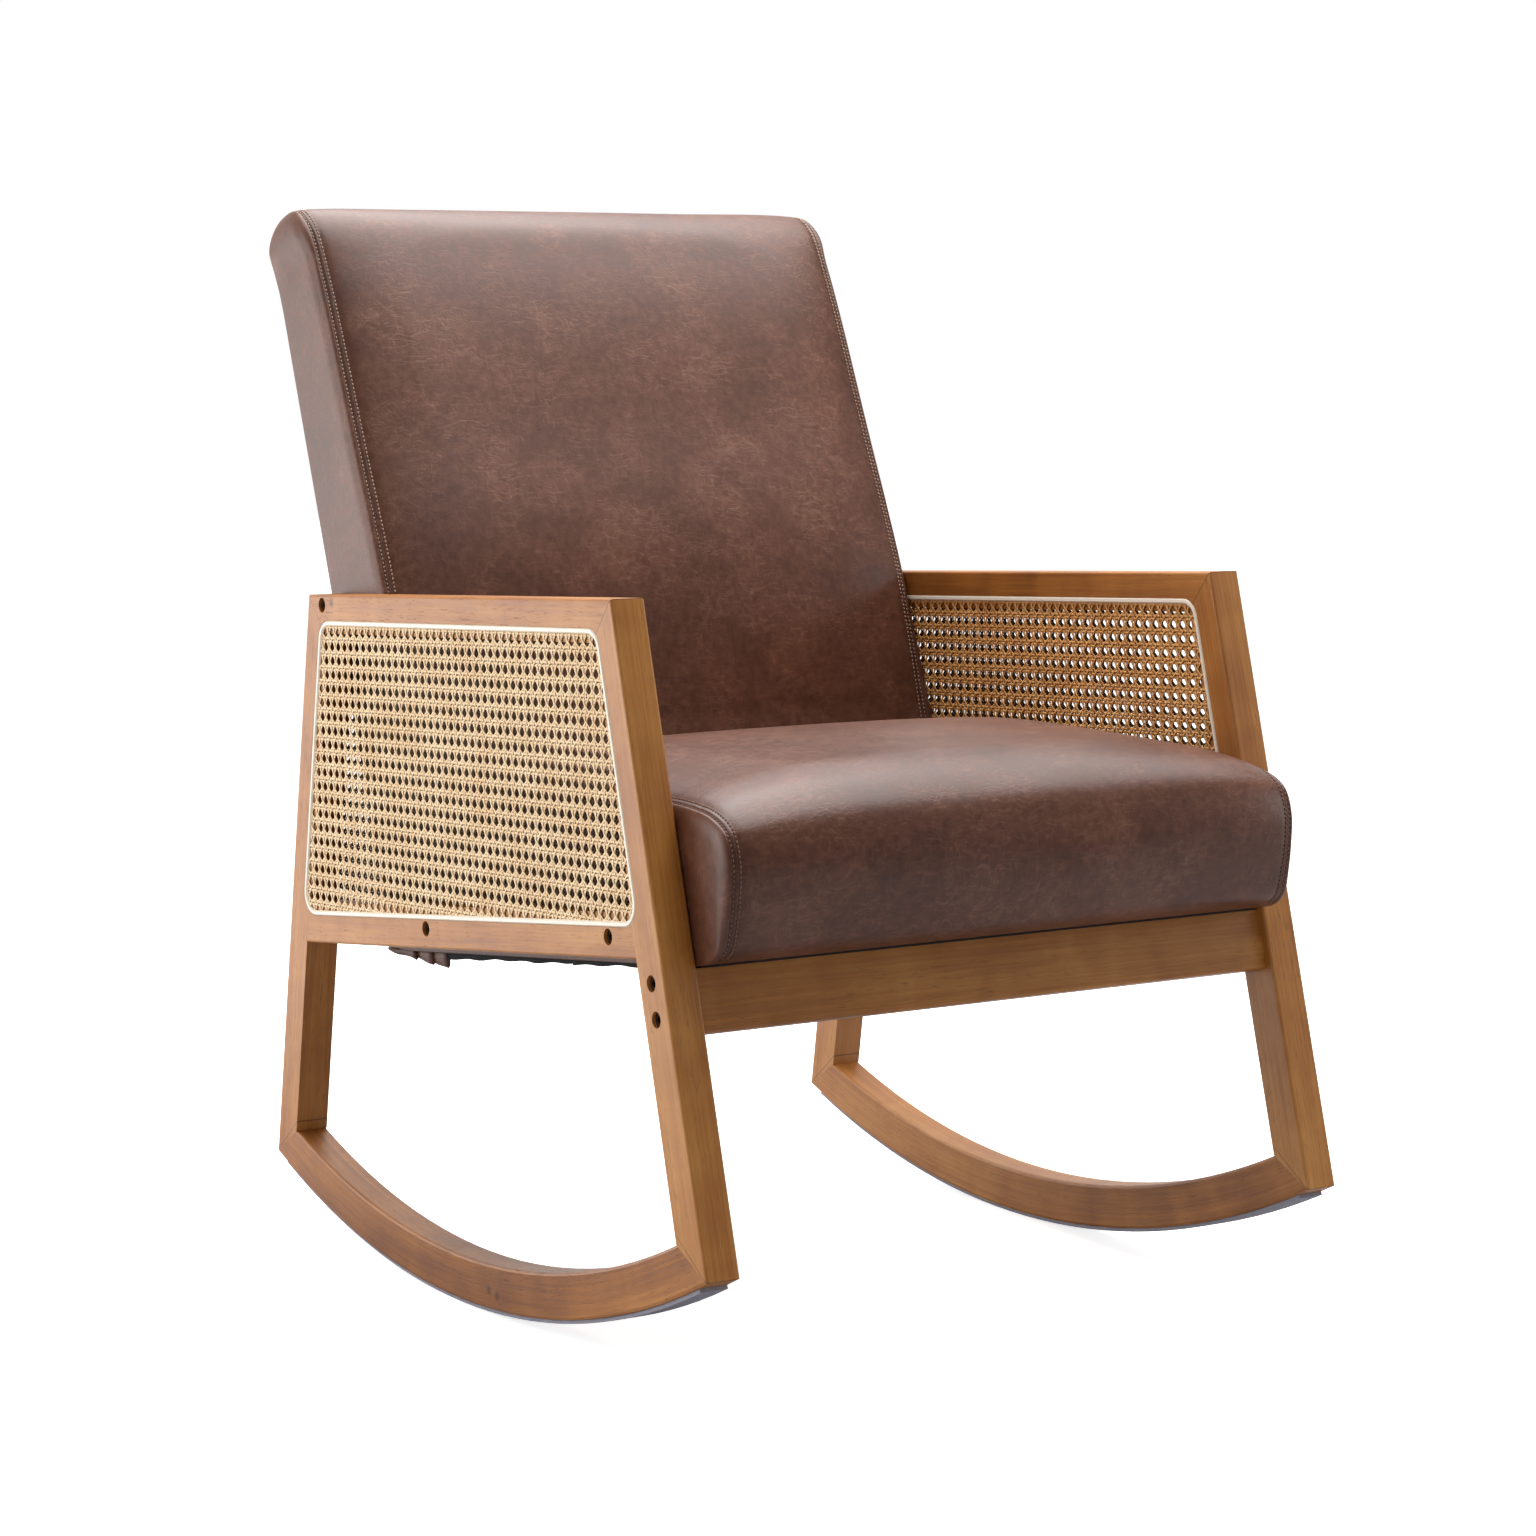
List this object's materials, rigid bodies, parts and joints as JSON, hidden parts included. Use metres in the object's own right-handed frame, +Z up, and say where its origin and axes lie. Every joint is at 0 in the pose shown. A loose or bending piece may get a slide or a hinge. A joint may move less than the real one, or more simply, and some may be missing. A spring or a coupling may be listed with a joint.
{
  "type": "upholstered rocking chair",
  "caption": "Rocking arm chair with splayed mitred wooden side frames, cane panels, bent rockers, a thick leather seat and a raked leather back.",
  "frame": {"origin": "on the floor under the middle of the chair's bounding box", "axes": "+Z up, +X across the seat, -Y the way the sitter faces"},
  "size_m": [0.6272, 0.8302, 0.9537],
  "materials": {
    "stained_wood": "satin, walnut stain with open pores",
    "inner_wood": "bare",
    "cane": "natural cane, semi-matt",
    "spline": "matt cream",
    "felt": "grey felt",
    "leather": "soft brown, waxed, mottled",
    "foam": "foam",
    "webbing": "woven",
    "dust_cloth": "black non-woven",
    "dark_steel": "blackened",
    "plain_steel": "plain"
  },
  "bodies": {
    "root": {"left_arm_rail": "stained_wood", "left_front_leg": "stained_wood", "left_rear_leg": "stained_wood", "left_side_rail": "stained_wood", "left_rocker": "stained_wood", "left_loose_tenons": "inner_wood", "left_outer_cane": "cane", "left_inner_cane": "cane", "left_outer_spline": "spline", "left_inner_spline": "spline", "left_felt_strip": "felt", "right_arm_rail": "stained_wood", "right_front_leg": "stained_wood", "right_rear_leg": "stained_wood", "right_side_rail": "stained_wood", "right_rocker": "stained_wood", "right_loose_tenons": "inner_wood", "right_outer_cane": "cane", "right_inner_cane": "cane", "right_outer_spline": "spline", "right_inner_spline": "spline", "right_felt_strip": "felt", "front_rail": "stained_wood", "seat_frame_left_rail": "inner_wood", "seat_frame_right_rail": "inner_wood", "seat_frame_front_rail": "inner_wood", "seat_frame_rear_rail": "inner_wood", "seat_corner_blocks": "inner_wood", "back_frame_left_stile": "inner_wood", "back_frame_right_stile": "inner_wood", "back_frame_top_rail": "inner_wood", "back_frame_bottom_rail": "inner_wood", "seat_webbing_straps": "webbing", "back_webbing_straps": "webbing", "seat_foam": "foam", "back_foam": "foam", "seat_cover": "leather", "back_cover": "leather", "back_rear_panel": "leather", "seat_dust_cover": "dust_cloth", "side_frame_bolts": "dark_steel", "back_bolts": "dark_steel", "threaded_inserts": "plain_steel"}
  },
  "joints": []
}
